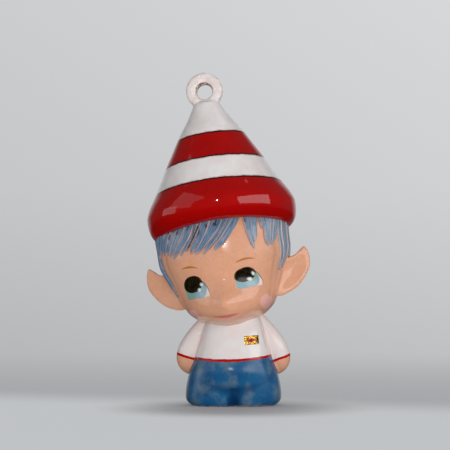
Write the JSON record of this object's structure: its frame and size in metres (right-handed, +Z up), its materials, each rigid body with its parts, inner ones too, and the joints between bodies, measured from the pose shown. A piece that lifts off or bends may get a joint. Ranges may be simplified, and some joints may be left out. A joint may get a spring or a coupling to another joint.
{
  "type": "elf figurine",
  "caption": "Glazed ceramic elf with pointed ears, a striped conical hat and a hanging loop, standing on a flat base.",
  "frame": {"origin": "middle of the bounding box, on the surface that the figurine stands on", "axes": "+Z up, the figurine faces -Y, +X is at the right of someone who looks at its face"},
  "size_m": [0.0492, 0.0446, 0.1002],
  "materials": {
    "glazed_clay": "flesh-coloured earthenware, hand painted in red, white, blue and black under a glossy clear glaze"
  },
  "bodies": {
    "root": {"figurine": "glazed_clay"}
  },
  "joints": []
}
